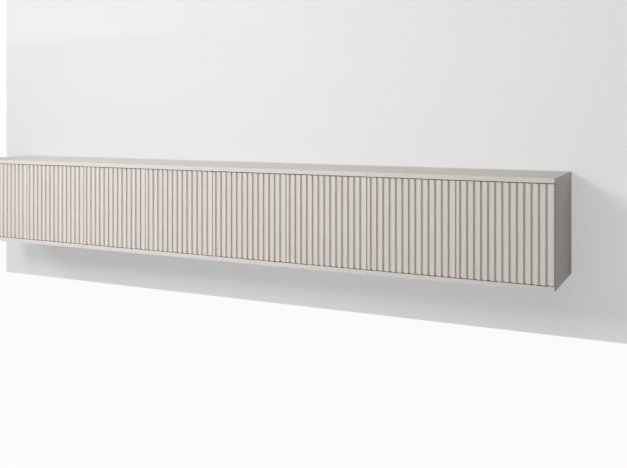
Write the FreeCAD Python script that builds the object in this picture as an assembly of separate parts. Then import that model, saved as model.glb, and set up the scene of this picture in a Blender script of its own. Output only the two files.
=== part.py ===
import FreeCAD, Part
import math
import os

# Floating media console: four equal wall-hung cabinets in a row, each with two slatted
# push-to-open doors on concealed hinges. Millimetres. X runs along the console to the
# right, Y goes into the wall and Z is up. The origin is on the wall, in the middle of the
# row of wall screws.

Vector = FreeCAD.Vector

# ---------------------------------------------------------------- driving dimensions
# Cabinets
cabinet_count = 4
cabinet_pitch = 710.0
height = 400.0
depth = 384.0
board = 18.0                  # top, bottom and side panels
seam = 0.4                    # between neighbouring cabinets
edge_radius = 0.8             # on the visible board edges
top_to_wall_screws = 60.0     # from the top face down to the row of wall screws

# Doors
door_thickness = 22.0
door_gap = 3.0                # all round each door
door_standoff = 3.0           # from the door's back to the side panels
groove_width = 12.0
groove_depth = 8.0
slat_pitch = 25.9
first_strip = 12.4
least_last_strip = 8.0
slat_radius = 1.4
groove_corner_radius = 0.5

# Back panel and its cable cut-out
back_thickness = 8.0
back_recess = 20.0            # from the wall to the back panel
back_groove_depth = 6.0
back_groove_clearance = 0.15
cable_width = 140.0
cable_height = 50.0
cable_corner = 12.0
cable_above_bottom = 42.0

# Shelf and its pins
shelf_thickness = 18.0
shelf_side_clearance = 1.0
shelf_front_setback = 24.0    # from the front edges of the side panels
shelf_back_clearance = 4.0
shelf_height = 173.0          # underside above the bottom panel
pin_radius = 2.5
pin_depth = 10.0
pin_ledge = 7.0
pin_ledge_height = 8.0
pin_hole_pitch = 32.0
pin_holes_each_way = 2
pin_row_front = 37.0          # from the front edges of the side panels
pin_row_back = 52.0           # from the back panel

# Concealed hinge: cup in the door
hinge_from_door_end = 70.0
cup_radius = 17.5
cup_depth = 12.0
cup_wall = 1.0
cup_from_door_edge = 3.5
flange_thickness = 1.2
flange_width = 1.5            # of the ring of flange around the cup
flange_ear_radius = 5.5
cup_screw_spacing = 45.0
cup_screw_offset = 9.5
cup_pivot_offset = 11.0       # from the middle of the cup towards the door's edge
cup_pivot_depth = 5.5         # in from the back of the door
cup_pin_radius = 1.25

# Concealed hinge: hooked link
arm_pivot_inside = 9.8        # from the inner face of the side panel
arm_pivot_behind = 15.0       # behind the front edge of the side panel
arm_pin_radius = 1.5
link_half_height = 6.0
link_floor_clearance = 1.2    # from the floor of the cup
link_leg_width = 4.6
link_foot_width = 3.4
link_boss_wall = 1.35         # around the cup pin
link_arm_boss_wall = 2.1      # around the arm pin
link_inner_radius = 1.0

# Concealed hinge: arm
arm_sheet = 1.6
arm_length = 62.0             # behind the arm pivot
arm_above_pivot = 4.0
arm_nose = 4.5                # in front of the arm pivot
arm_web_start = 9.0           # behind the arm pivot
arm_side_clearance = 0.4
arm_corner = 3.0
arm_tail_corner = 2.0
arm_shoulder = 6.0            # behind the arm pivot, where the cheek's lower edge starts
rivet_head_width = 1.0
rivet_head_height = 0.8
adjuster_behind_pivot = 20.0
fixing_behind_pivot = 46.0
fixing_slot_length = 10.0
fixing_slot_half_width = 2.5
arm_screw_length = 7.0

# Concealed hinge: mounting plate
plate_setback = 37.0          # plate screws behind the front edges of the side panels
plate_thickness = 3.0
plate_width = 18.0
plate_height = 52.0
plate_corner = 8.0
plate_screw_spacing = 32.0
plate_ridge_length = 46.0
plate_ridge_corner = 1.5
plate_clearance = 0.2         # between the plate and the arm that fits over it

# Push latch
latch_from_door_edge = 25.0
latch_below_top_panel = 10.0
latch_width = 18.0
latch_height = 20.0
latch_length = 76.0
latch_front = 6.0             # housing front behind the back of the door
plunger_radius = 4.0
plunger_length = 64.0
plunger_tip_gap = 0.3
plunger_tip_length = 5.0
plunger_tip_inset = 0.2       # the tip is a little thinner than the rod
plunger_tip_radius = 1.2
latch_bore_spare = 6.0
latch_corner = 2.0
latch_ear_width = 9.0
latch_ear_length = 16.0
latch_ear_thickness = 2.5
latch_ear_place = 0.6         # along the housing, as a share of its length
latch_screw_length = 10.5

# Joinery
dowel_radius = 4.0
dowel_in_panel = 12.0
dowel_in_side = 18.0
dowel_front = 22.0            # from the front edges of the side panels
dowel_back = 50.0             # from the wall
cam_radius = 7.4
cam_thickness = 12.5
cam_from_joint = 24.0
cam_front = 52.0
cam_back = 80.0
cam_bolt_radius = 3.0
cam_bolt_in_panel = 11.0
cam_bolt_overlap = 3.4
connector_front = 107.0
connector_back = 124.0
connector_from_joint = 27.0
connector_radius = 4.0
connector_screw_radius = 2.5
connector_head_radius = 6.5
connector_head_thickness = 1.4
connector_end = 4.0           # solid end of the sleeve, and its shortfall at the screw

# Wall rail and hanger bracket
rail_thickness = 2.0
rail_height = 40.0
rail_offset = 5.0             # from the wall to the back of the lip
rail_lip_height = 10.0
rail_end_clearance = 0.5
rail_slot_half_width = 3.5
rail_slot_length = 14.0
wall_screw_spacing = 480.0
bracket_thickness = 3.0
bracket_side_clearance = 0.6  # around the rail's lip
bracket_finger = 2.0
bracket_finger_length = 8.0
bracket_body_depth = 10.0
bracket_body_height = 56.0
bracket_screw_spacing = 34.0

# Screws and fits
screw_radius = 1.75
screw_head_radius = 3.6
screw_head_height = 1.8
screw_crown = 1.1
screw_length = 6.5
plate_screw_radius = 3.0
plate_screw_head_radius = 4.8
plate_screw_length = 11.0
bracket_screw_radius = 2.5
bracket_screw_head_radius = 4.6
recess_width = 0.9
recess_depth = 0.9
fit = 0.05                    # radial clearance of pins and screws
running_fit = 0.08            # radial clearance of the latch plunger
end_fit = 0.5                 # a blind hole is this much deeper than what it holds
through = 1.0                 # a cutting tool reaches this far past a face

# ---------------------------------------------------------------- derived places
total_length = cabinet_count * cabinet_pitch
left_end = -total_length / 2
z_top = top_to_wall_screws
z_bottom = z_top - height
z_under_top = z_top - board
z_over_bottom = z_bottom + board
front = -depth
side_front = front + door_thickness + door_standoff
back_front = -back_recess - back_thickness
door_width = cabinet_pitch / 2 - door_gap
door_z0 = z_over_bottom + door_gap
door_z1 = z_under_top - door_gap
hinge_heights = (door_z0 + hinge_from_door_end, door_z1 - hinge_from_door_end)
side_inner = seam / 2 + board           # inner face of a side panel from its seam plane
shelf_z = z_over_bottom + shelf_height
latch_z = z_under_top - latch_below_top_panel
door_count = 2 * cabinet_count


def cabinet_x(cabinet):
    """Left seam plane of a cabinet, counted from 0."""
    return left_end + cabinet * cabinet_pitch


def save(name, solids):
    """Write one node; a list of solids stays a group of separate solids."""
    solids = solids if isinstance(solids, list) else [solids]
    shape = solids[0] if len(solids) == 1 else Part.makeCompound(solids)
    shape.exportStep(os.path.join("parts", name + ".step"))


def box(x0, x1, y0, y1, z0, z1):
    return Part.makeBox(x1 - x0, y1 - y0, z1 - z0, Vector(x0, y0, z0))


def rod(radius, start, end):
    along = end - start
    return Part.makeCylinder(radius, along.Length, start, along)


def rounded_face(corners):
    """A flat face from (x, y, radius) corners; a radius above 0 rounds that corner."""
    count = len(corners)
    entries = []
    for index, (x, y, radius) in enumerate(corners):
        here = Vector(x, y, 0)
        before = Vector(corners[index - 1][0], corners[index - 1][1], 0)
        after = Vector(corners[(index + 1) % count][0], corners[(index + 1) % count][1], 0)
        if radius <= 0:
            entries.append((here, None, here))
            continue
        to_before = (before - here).normalize()
        to_after = (after - here).normalize()
        half_angle = to_before.getAngle(to_after) / 2
        reach = radius / math.tan(half_angle)
        middle = (to_before + to_after).normalize()
        centre = here + middle * (radius / math.sin(half_angle))
        entries.append((here + to_before * reach, centre - middle * radius, here + to_after * reach))
    edges = []
    for index, (start, middle, end) in enumerate(entries):
        if middle is not None:
            edges.append(Part.Arc(start, middle, end).toShape())
        following = entries[(index + 1) % count][0]
        if (following - end).Length > 1e-6:
            edges.append(Part.LineSegment(end, following).toShape())
    return Part.Face(Part.Wire(edges))


def upright(corners, z0, z1):
    """An outline in X and Y, extruded along Z."""
    face = rounded_face(corners)
    face.translate(Vector(0, 0, z0))
    return face.extrude(Vector(0, 0, z1 - z0))


def round_edges(solid, radius, wanted):
    """Round the straight edges whose middle and direction satisfy wanted(middle, direction)."""
    chosen = []
    for edge in solid.Edges:
        start, end = edge.Vertexes[0].Point, edge.Vertexes[-1].Point
        direction = (end - start).normalize()
        if wanted((start + end) / 2, direction):
            chosen.append(edge)
    return solid.makeFillet(radius, chosen)


def near(a, b):
    return abs(a - b) < 1e-4


def screw(seat, into, shank, head, length):
    """A pan-head screw with a cross recess. Its head lies on seat and its shank runs into."""
    top = seat - into * screw_head_height
    solid = rod(head, top, seat)
    crown = [edge for edge in solid.Edges if near((edge.CenterOfMass - top).Length, 0)]
    solid = solid.makeFillet(screw_crown, crown).fuse(rod(shank, seat, seat + into * length))
    across = Vector(1, 0, 0) if abs(into.z) > 0.5 else Vector(0, 0, 1)
    other = into.cross(across)
    for along, width in ((across, other), (other, across)):
        start = top - into * through - along * head / 2 - width * recess_width / 2
        corners = [start, start + along * head, start + along * head + width * recess_width,
                   start + width * recess_width, start]
        slot = Part.Face(Part.makePolygon(corners)).extrude(into * (through + recess_depth))
        solid = solid.cut(slot)
    return solid


# ---------------------------------------------------------------- hinge places
# Hinges and latches are drawn for a left-hung door: X from the seam plane to the cabinet's
# inside, Y from the fronts of the doors and Z from the middle of the hinge.
cup_x = door_gap / 2 + cup_from_door_edge + cup_radius
cup_floor_y = door_thickness - cup_depth
cup_pivot_x = cup_x - cup_pivot_offset
cup_pivot_y = door_thickness - cup_pivot_depth
arm_pivot_x = side_inner + arm_pivot_inside
arm_pivot_y = door_thickness + door_standoff + arm_pivot_behind
arm_top_x = arm_pivot_x + arm_above_pivot
arm_half_height = link_half_height + arm_side_clearance + arm_sheet
adjuster_y = arm_pivot_y + adjuster_behind_pivot
fixing_screw_y = arm_pivot_y + fixing_behind_pivot
plate_y = door_thickness + door_standoff + plate_setback
ridge_top = arm_top_x - arm_sheet - plate_clearance


# ---------------------------------------------------------------- joinery places
def joint_heights():
    """Each end of a side panel: the height of the joint and the direction into the side."""
    return ((z_under_top, -1), (z_over_bottom, 1))


dowel_depths = (side_front + dowel_front, -dowel_back)
cam_depths = (side_front + cam_front, -cam_back)
connector_depths = (side_front + connector_front, -connector_back)
pin_rows = (side_front + pin_row_front, back_front - pin_row_back)
connector_heights = (z_over_bottom + connector_from_joint, z_under_top - connector_from_joint)


def side_middles(cabinet):
    """Middle planes of a cabinet's left and right side panels, with the way to its inside."""
    return ((cabinet_x(cabinet) + seam / 2 + board / 2, 1),
            (cabinet_x(cabinet + 1) - seam / 2 - board / 2, -1))


def dowel_rods(cabinet, clearance=0.0, spare=0.0):
    """The dowels of a cabinet, or their holes when clearance and spare are given."""
    solids = []
    for x, _ in side_middles(cabinet):
        for z, into_side in joint_heights():
            for y in dowel_depths:
                start = Vector(x, y, z - into_side * (dowel_in_panel + spare))
                end = Vector(x, y, z + into_side * (dowel_in_side + spare))
                solids.append(rod(dowel_radius + clearance, start, end))
    return solids


def cam_bolts(cabinet, clearance=0.0, spare=0.0):
    """The bolts that the cams pull, or their holes."""
    reach = cam_from_joint - cam_radius + cam_bolt_overlap
    solids = []
    for x, _ in side_middles(cabinet):
        for z, into_side in joint_heights():
            for y in cam_depths:
                start = Vector(x, y, z - into_side * (cam_bolt_in_panel + spare))
                end = Vector(x, y, z + into_side * (reach + spare))
                solids.append(rod(cam_bolt_radius + clearance, start, end))
    return solids


def cams(cabinet, clearance=0.0, spare=0.0):
    """The round cams in the inner faces of the side panels, or their pockets."""
    solids = []
    for x, inward in side_middles(cabinet):
        face = x + inward * board / 2
        for z, into_side in joint_heights():
            for y in cam_depths:
                centre_z = z + into_side * cam_from_joint
                start = Vector(face - inward * (cam_thickness + spare), y, centre_z)
                solids.append(rod(cam_radius + clearance, start, Vector(face, y, centre_z)))
    return solids


def connector_holes(seam_x, radius, half_length):
    return [rod(radius, Vector(seam_x - half_length, y, z), Vector(seam_x + half_length, y, z))
            for y in connector_depths for z in connector_heights]


# ---------------------------------------------------------------- boards
def back_groove(cabinet):
    """The room that the back panel's edges take in the boards around it."""
    x0 = cabinet_x(cabinet) + side_inner - back_groove_depth
    x1 = cabinet_x(cabinet + 1) - side_inner + back_groove_depth
    return box(x0, x1,
               back_front - back_groove_clearance, -back_recess + back_groove_clearance,
               z_over_bottom - back_groove_depth, z_under_top + back_groove_depth)


def cut_all(solid, tools):
    return solid.cut(tools).removeSplitter()


def flat_panel(cabinet, z0, z1):
    """A top or bottom panel, from the wall to the fronts of the doors."""
    x0 = cabinet_x(cabinet) + seam / 2
    x1 = cabinet_x(cabinet + 1) - seam / 2
    outer_z = z1 if near(z1, z_top) else z0
    panel = box(x0, x1, front, 0, z0, z1)
    panel = round_edges(
        panel, edge_radius,
        lambda middle, direction: (
            (near(middle.y, front) and abs(direction.y) < 0.5)
            or (near(middle.z, outer_z) and abs(direction.y) > 0.5)))
    tools = [back_groove(cabinet)]
    tools += dowel_rods(cabinet, fit, end_fit) + cam_bolts(cabinet, fit, end_fit)
    if near(z1, z_top):
        tools += latch_screw_holes(cabinet)
    return cut_all(panel, tools)


def side_panel(cabinet, index):
    """index 0 is the left side of a cabinet and 1 the right side."""
    middle_x, inward = side_middles(cabinet)[index]
    seam_x = cabinet_x(cabinet + index)
    panel = box(middle_x - board / 2, middle_x + board / 2, side_front, 0,
                z_over_bottom, z_under_top)
    outer_x = middle_x - inward * board / 2
    panel = round_edges(
        panel, edge_radius,
        lambda middle, direction: (
            near(middle.x, outer_x) and near(middle.y, side_front) and abs(direction.z) > 0.5))
    tools = [back_groove(cabinet)]
    tools += dowel_rods(cabinet, fit, end_fit) + cam_bolts(cabinet, fit, end_fit)
    tools += cams(cabinet, fit, end_fit)
    if 0 < cabinet + index < cabinet_count:
        tools += connector_holes(seam_x, connector_radius, side_inner + through)
    face_x = middle_x + inward * board / 2

    def bore(radius, depth_in_board, y, z):
        """A blind hole in the inner face."""
        return rod(radius + fit, Vector(face_x + inward * through, y, z),
                   Vector(face_x - inward * (depth_in_board + end_fit), y, z))

    for y in pin_rows:
        for step in range(-pin_holes_each_way, pin_holes_each_way + 1):
            z = shelf_z - pin_radius + step * pin_hole_pitch
            tools.append(bore(pin_radius, pin_depth, y, z))
    for hinge_z in hinge_heights:
        for offset in (-plate_screw_spacing / 2, plate_screw_spacing / 2):
            tools.append(bore(plate_screw_radius, plate_screw_length - plate_thickness,
                              front + plate_y, hinge_z + offset))
    for z in bracket_screw_heights:
        tools.append(bore(bracket_screw_radius, plate_screw_length - bracket_thickness,
                          bracket_body_y, z))
    return cut_all(panel, tools)


def back_panel(cabinet):
    reach = back_groove_depth - back_groove_clearance
    x0 = cabinet_x(cabinet) + side_inner - reach
    x1 = cabinet_x(cabinet + 1) - side_inner + reach
    panel = box(x0, x1, back_front, -back_recess, z_over_bottom - reach, z_under_top + reach)
    middle = (x0 + x1) / 2
    z0 = z_over_bottom + cable_above_bottom
    opening = box(middle - cable_width / 2, middle + cable_width / 2,
                  back_front - through, -back_recess + through, z0, z0 + cable_height)
    opening = round_edges(opening, cable_corner, lambda point, direction: abs(direction.y) > 0.5)
    return panel.cut(opening)


def shelf(cabinet):
    x0 = cabinet_x(cabinet) + side_inner + shelf_side_clearance
    x1 = cabinet_x(cabinet + 1) - side_inner - shelf_side_clearance
    solid = box(x0, x1, side_front + shelf_front_setback, back_front - shelf_back_clearance,
                shelf_z, shelf_z + shelf_thickness)
    return round_edges(
        solid, edge_radius,
        lambda middle, direction: (
            near(middle.y, side_front + shelf_front_setback) and abs(direction.x) > 0.5))


def shelf_pins(cabinet):
    """Four pins, each with a flat ledge that the shelf lies on."""
    solids = []
    for middle_x, inward in side_middles(cabinet):
        face_x = middle_x + inward * board / 2
        for y in pin_rows:
            z = shelf_z - pin_radius
            pin = rod(pin_radius, Vector(face_x - inward * pin_depth, y, z),
                      Vector(face_x + inward * pin_ledge, y, z))
            ends = sorted((face_x, face_x + inward * pin_ledge))
            ledge = box(ends[0], ends[1], y - pin_ledge / 2, y + pin_ledge / 2,
                        shelf_z - pin_ledge_height, shelf_z)
            solids.append(ledge.fuse(pin).removeSplitter())
    return solids


# ---------------------------------------------------------------- doors and hinges
def hinged_on_left(door):
    return door % 2 == 0


def at_hinge(solid, door, z):
    """Put a solid, drawn for a left-hung door at the seam plane and height 0, on its door."""
    placed = solid.copy()
    if not hinged_on_left(door):
        placed = placed.mirror(Vector(0, 0, 0), Vector(1, 0, 0))
    seam_x = cabinet_x(door // 2 + door % 2)
    placed.translate(Vector(seam_x, front, z))
    return placed


def slatted_front(left, right, face, back):
    """Outline of a door in plan, with its grooves; left to right, front face first."""
    span = right - left
    grooves = int((span - first_strip - least_last_strip + slat_pitch - groove_width) / slat_pitch)
    corners = [(left, back, edge_radius), (left, face, slat_radius)]
    for index in range(grooves):
        start = left + first_strip + index * slat_pitch
        end = start + groove_width
        corners += [(start, face, slat_radius), (start, face + groove_depth, groove_corner_radius),
                    (end, face + groove_depth, groove_corner_radius), (end, face, slat_radius)]
    corners += [(right, face, slat_radius), (right, back, edge_radius)]
    return corners


def cup_screw_places():
    x = cup_x + cup_screw_offset
    return [(x, -cup_screw_spacing / 2), (x, cup_screw_spacing / 2)]


def door(number):
    left = left_end + number * cabinet_pitch / 2 + door_gap / 2
    solid = upright(slatted_front(left, left + door_width, front, front + door_thickness),
                    door_z0, door_z1)
    bore = rod(cup_radius + fit, Vector(cup_x, cup_floor_y, 0),
               Vector(cup_x, door_thickness + through, 0))
    tools = [at_hinge(bore, number, z) for z in hinge_heights]
    for x, z in cup_screw_places():
        hole = rod(screw_radius + fit, Vector(x, door_thickness + through, z),
                   Vector(x, door_thickness - screw_length - end_fit, z))
        tools += [at_hinge(hole, number, height_z) for height_z in hinge_heights]
    return solid.cut(tools)


def hinge_cup():
    """A pressed cup with a flange that lies on the back of the door."""
    top_y = door_thickness + flange_thickness
    outside = rod(cup_radius - fit, Vector(cup_x, cup_floor_y, 0), Vector(cup_x, door_thickness, 0))
    rim = [edge for edge in outside.Edges if near(edge.CenterOfMass.y, cup_floor_y)]
    outside = outside.makeFillet(cup_wall, rim)
    flange = rod(cup_radius + flange_width, Vector(cup_x, door_thickness, 0), Vector(cup_x, top_y, 0))
    ear_x = cup_x + cup_screw_offset
    flange = flange.fuse(box(ear_x - flange_ear_radius, ear_x + flange_ear_radius,
                             door_thickness, top_y, -cup_screw_spacing / 2, cup_screw_spacing / 2))
    for x, z in cup_screw_places():
        flange = flange.fuse(rod(flange_ear_radius, Vector(x, door_thickness, z), Vector(x, top_y, z)))
    inside = rod(cup_radius - fit - cup_wall, Vector(cup_x, cup_floor_y + cup_wall, 0),
                 Vector(cup_x, top_y + through, 0))
    tools = [inside, cup_pin(fit)]
    for x, z in cup_screw_places():
        tools.append(rod(screw_radius + fit, Vector(x, door_thickness - through, z),
                         Vector(x, top_y + through, z)))
    return cut_all(outside.fuse(flange), tools)


def cup_pin(clearance=0.0):
    """The pin of the link in the cup, let into the cup's wall at both ends."""
    half = math.sqrt((cup_radius - cup_wall) ** 2 - cup_pivot_offset ** 2) + clearance
    return rod(cup_pin_radius + clearance,
               Vector(cup_pivot_x, cup_pivot_y, -half), Vector(cup_pivot_x, cup_pivot_y, half))


def cup_screws():
    return [screw(Vector(x, door_thickness + flange_thickness, z), Vector(0, -1, 0), screw_radius,
                  screw_head_radius, screw_length + flange_thickness)
            for x, z in cup_screw_places()]


def hinge_link():
    """A hooked link: from the cup's pin along the cup's floor, then back to the arm's pin."""
    leg_left = arm_pivot_x - link_leg_width / 2
    leg_right = arm_pivot_x + link_leg_width / 2
    foot_front = cup_floor_y + cup_wall + link_floor_clearance
    foot_back = foot_front + link_foot_width
    body = upright([
        (cup_pivot_x, foot_front, 0),
        (leg_right, foot_front, link_leg_width),
        (leg_right, arm_pivot_y, 0),
        (leg_left, arm_pivot_y, 0),
        (leg_left, foot_back, link_inner_radius),
        (cup_pivot_x, foot_back, 0)],
        -link_half_height, link_half_height)
    for x, y, radius in ((cup_pivot_x, cup_pivot_y, cup_pin_radius + link_boss_wall),
                         (arm_pivot_x, arm_pivot_y, arm_pin_radius + link_arm_boss_wall)):
        body = body.fuse(rod(radius, Vector(x, y, -link_half_height), Vector(x, y, link_half_height)))
    return cut_all(body, [cup_pin(fit), arm_pin(fit)])


def arm_pin(clearance=0.0):
    """The shank of the rivet that holds the link in the arm."""
    half = arm_half_height + clearance
    return rod(arm_pin_radius + clearance,
               Vector(arm_pivot_x, arm_pivot_y, -half), Vector(arm_pivot_x, arm_pivot_y, half))


def arm_rivet():
    solid = arm_pin()
    for end in (-1, 1):
        seat = end * arm_half_height
        solid = solid.fuse(rod(arm_pin_radius + rivet_head_width,
                               Vector(arm_pivot_x, arm_pivot_y, seat),
                               Vector(arm_pivot_x, arm_pivot_y, seat + end * rivet_head_height)))
    return solid.removeSplitter()


def hinge_arm():
    """A channel of folded sheet: two cheeks and a web, open at the nose for the link."""
    low = side_inner + plate_thickness + plate_clearance
    nose_y = arm_pivot_y - arm_nose
    tail_y = arm_pivot_y + arm_length
    web_y = arm_pivot_y + arm_web_start
    solid = upright([
        (low, arm_pivot_y + arm_shoulder, arm_corner),
        (arm_pivot_x - arm_nose, nose_y, arm_corner),
        (arm_top_x, nose_y, arm_corner),
        (arm_top_x, tail_y, arm_tail_corner),
        (low, tail_y, arm_tail_corner)],
        -arm_half_height, arm_half_height)
    inner = arm_half_height - arm_sheet
    web_bottom = arm_top_x - arm_sheet
    channel = box(low - through, web_bottom, nose_y - through, tail_y + through, -inner, inner)
    nose = box(low - through, arm_top_x + through, nose_y - through, web_y, -inner, inner)
    slot = box(web_bottom - through, arm_top_x + through,
               fixing_screw_y - fixing_slot_length / 2, fixing_screw_y + fixing_slot_length / 2,
               -fixing_slot_half_width, fixing_slot_half_width)
    adjuster = rod(screw_radius + fit, Vector(web_bottom - through, adjuster_y, 0),
                   Vector(arm_top_x + through, adjuster_y, 0))
    return cut_all(solid, [channel, nose, slot, adjuster, arm_pin(fit)])


def arm_screws():
    """The side adjuster near the nose, and the screw that clamps the arm to its plate."""
    return [screw(Vector(arm_top_x, y, 0), Vector(-1, 0, 0), screw_radius, screw_head_radius,
                  arm_screw_length)
            for y in (adjuster_y, fixing_screw_y)]


def mounting_plate():
    """A flat plate on the side panel with a ridge that the arm fits over."""
    base = box(side_inner, side_inner + plate_thickness,
               plate_y - plate_width / 2, plate_y + plate_width / 2,
               -plate_height / 2, plate_height / 2)
    base = round_edges(base, plate_corner, lambda middle, direction: abs(direction.x) > 0.5)
    ridge_y = plate_y - plate_width / 2
    ridge_half = link_half_height + arm_side_clearance - plate_clearance
    ridge = box(side_inner, ridge_top, ridge_y, ridge_y + plate_ridge_length, -ridge_half, ridge_half)
    ridge = round_edges(ridge, plate_ridge_corner, lambda middle, direction: (
        near(middle.x, ridge_top) and abs(direction.z) > 0.5))
    tools = []
    for z in (-plate_screw_spacing / 2, plate_screw_spacing / 2):
        tools.append(rod(plate_screw_radius + fit, Vector(side_inner - through, plate_y, z),
                         Vector(side_inner + plate_thickness + through, plate_y, z)))
    for y in (adjuster_y, fixing_screw_y):
        tools.append(rod(screw_radius + fit, Vector(arm_top_x - arm_screw_length - end_fit, y, 0),
                         Vector(arm_top_x, y, 0)))
    return cut_all(base.fuse(ridge), tools)


def plate_screws():
    seat = side_inner + plate_thickness
    return [screw(Vector(seat, plate_y, z), Vector(-1, 0, 0), plate_screw_radius,
                  plate_screw_head_radius, plate_screw_length)
            for z in (-plate_screw_spacing / 2, plate_screw_spacing / 2)]


# ---------------------------------------------------------------- push latches
latch_x = cabinet_pitch / 2 - door_gap / 2 - latch_from_door_edge
latch_y0 = door_thickness + latch_front
plunger_y0 = door_thickness + plunger_tip_gap
latch_ear_y = latch_y0 + latch_length * latch_ear_place
latch_screw_xs = (latch_x - latch_width / 2 - latch_ear_width / 2,
                  latch_x + latch_width / 2 + latch_ear_width / 2)


def latch_housing():
    """A block under the top panel, bored from the front for the plunger."""
    half = latch_width / 2
    top = latch_below_top_panel
    solid = box(latch_x - half, latch_x + half, latch_y0, latch_y0 + latch_length,
                top - latch_height, top)
    solid = round_edges(solid, latch_corner, lambda middle, direction: (
        near(middle.z, top - latch_height)
        or (near(middle.y, latch_y0) and abs(direction.z) > 0.5)))
    bore_end = plunger_y0 + plunger_length + latch_bore_spare
    ears = box(latch_x - half - latch_ear_width, latch_x + half + latch_ear_width,
               latch_ear_y - latch_ear_length / 2, latch_ear_y + latch_ear_length / 2,
               top - latch_ear_thickness, top)
    ears = round_edges(ears, latch_ear_width / 2, lambda middle, direction: abs(direction.z) > 0.5)
    tools = [rod(plunger_radius + running_fit, Vector(latch_x, latch_y0 - through, 0),
                 Vector(latch_x, bore_end, 0))]
    tools += [rod(screw_radius + fit, Vector(x, latch_ear_y, top - 2 * latch_ear_thickness),
                  Vector(x, latch_ear_y, top + through))
              for x in latch_screw_xs]
    return cut_all(solid.fuse(ears), tools)


def latch_screws():
    seat = latch_below_top_panel - latch_ear_thickness
    return [screw(Vector(x, latch_ear_y, seat), Vector(0, 0, 1),
                  screw_radius, screw_head_radius, latch_screw_length)
            for x in latch_screw_xs]


def latch_screw_holes(cabinet):
    """Pilot holes in the underside of a top panel for both of its latches."""
    depth_in_panel = latch_screw_length - latch_ear_thickness + end_fit
    holes = [rod(screw_radius + fit, Vector(x, latch_ear_y, latch_below_top_panel - through),
                 Vector(x, latch_ear_y, latch_below_top_panel + depth_in_panel))
             for x in latch_screw_xs]
    return [at_hinge(hole, number, latch_z)
            for number in (2 * cabinet, 2 * cabinet + 1) for hole in holes]


def plunger():
    """The pushing rod and the soft tip that meets the door."""
    tip_end = plunger_y0 + plunger_tip_length
    tip = rod(plunger_radius - plunger_tip_inset, Vector(latch_x, plunger_y0, 0), Vector(latch_x, tip_end, 0))
    rim = [edge for edge in tip.Edges if near(edge.CenterOfMass.y, plunger_y0)]
    tip = tip.makeFillet(plunger_tip_radius, rim)
    body = rod(plunger_radius, Vector(latch_x, tip_end, 0),
               Vector(latch_x, plunger_y0 + plunger_length, 0))
    return [tip, body]


# ---------------------------------------------------------------- wall rail and brackets
lip_back = -rail_offset
lip_front = -rail_offset - rail_thickness
rail_top = rail_height / 2
lip_top = rail_top + rail_lip_height
bracket_body_y = lip_front - bracket_side_clearance - bracket_body_depth / 2
bracket_top = lip_top + bracket_body_depth
bracket_screw_heights = (bracket_top - bracket_body_height / 2 - bracket_screw_spacing / 2,
                         bracket_top - bracket_body_height / 2 + bracket_screw_spacing / 2)


def along_x(profile, x0, x1):
    """A closed outline of (y, z) points, extruded along X."""
    points = [Vector(x0, y, z) for y, z in profile]
    return Part.Face(Part.makePolygon(points + points[:1])).extrude(Vector(x1 - x0, 0, 0))


def wall_rail(cabinet):
    """A strip on the wall, bent forward and up along its top into a lip."""
    x0 = cabinet_x(cabinet) + side_inner + rail_end_clearance
    x1 = cabinet_x(cabinet + 1) - side_inner - rail_end_clearance
    solid = along_x([
        (0, -rail_top), (0, rail_top), (lip_back, rail_top), (lip_back, lip_top),
        (lip_front, lip_top), (lip_front, rail_top - rail_thickness),
        (-rail_thickness, rail_top - rail_thickness), (-rail_thickness, -rail_top)], x0, x1)
    middle = (x0 + x1) / 2
    half = rail_slot_length / 2 - rail_slot_half_width
    tools = []
    for x in (middle - wall_screw_spacing / 2, middle + wall_screw_spacing / 2):
        tools.append(box(x - half, x + half, -rail_thickness - through, through,
                         -rail_slot_half_width, rail_slot_half_width))
        for end in (x - half, x + half):
            tools.append(rod(rail_slot_half_width, Vector(end, -rail_thickness - through, 0),
                             Vector(end, through, 0)))
    return cut_all(solid, tools)


def hanger_bracket(cabinet, index):
    """A plate on the inside of a side panel that hooks down over the rail's lip."""
    middle_x, inward = side_middles(cabinet)[index]
    face_x = middle_x + inward * board / 2
    body_front = lip_front - bracket_side_clearance - bracket_body_depth
    body_back = lip_front - bracket_side_clearance
    finger_front = lip_back + bracket_side_clearance
    finger_back = finger_front + bracket_finger
    outline = [
        (body_front, bracket_top - bracket_body_height), (body_back, bracket_top - bracket_body_height),
        (body_back, lip_top), (finger_front, lip_top), (finger_front, lip_top - bracket_finger_length),
        (finger_back, lip_top - bracket_finger_length), (finger_back, bracket_top),
        (body_front, bracket_top)]
    solid = along_x(outline, *sorted((face_x, face_x + inward * bracket_thickness)))
    tools = [rod(bracket_screw_radius + fit, Vector(face_x - inward * through, bracket_body_y, z),
                 Vector(face_x + inward * (bracket_thickness + through), bracket_body_y, z))
             for z in bracket_screw_heights]
    return cut_all(solid, tools)


def bracket_screws(cabinet, index):
    middle_x, inward = side_middles(cabinet)[index]
    seat = middle_x + inward * (board / 2 + bracket_thickness)
    return [screw(Vector(seat, bracket_body_y, z), Vector(-inward, 0, 0), bracket_screw_radius,
                  bracket_screw_head_radius, plate_screw_length)
            for z in bracket_screw_heights]


# ---------------------------------------------------------------- connectors between cabinets
def seam_connectors(seam_x):
    """A sleeve from the left and a screw from the right clamp two side panels together."""
    solids = []
    for y in connector_depths:
        for z in connector_heights:
            left = Vector(seam_x - side_inner, y, z)
            right = Vector(seam_x + side_inner, y, z)
            outward = Vector(connector_head_thickness, 0, 0)
            sleeve = rod(connector_radius - fit, left, right - Vector(connector_end, 0, 0))
            sleeve = sleeve.fuse(rod(connector_head_radius, left - outward, left))
            thread = rod(connector_screw_radius + fit, left + Vector(connector_end, 0, 0), right)
            solids.append(cut_all(sleeve, [thread]))
            solids.append(screw(right, Vector(-1, 0, 0), connector_screw_radius,
                                connector_head_radius, 2 * (side_inner - connector_end)))
    return solids


# ---------------------------------------------------------------- the whole console
os.makedirs("parts", exist_ok=True)

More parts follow.
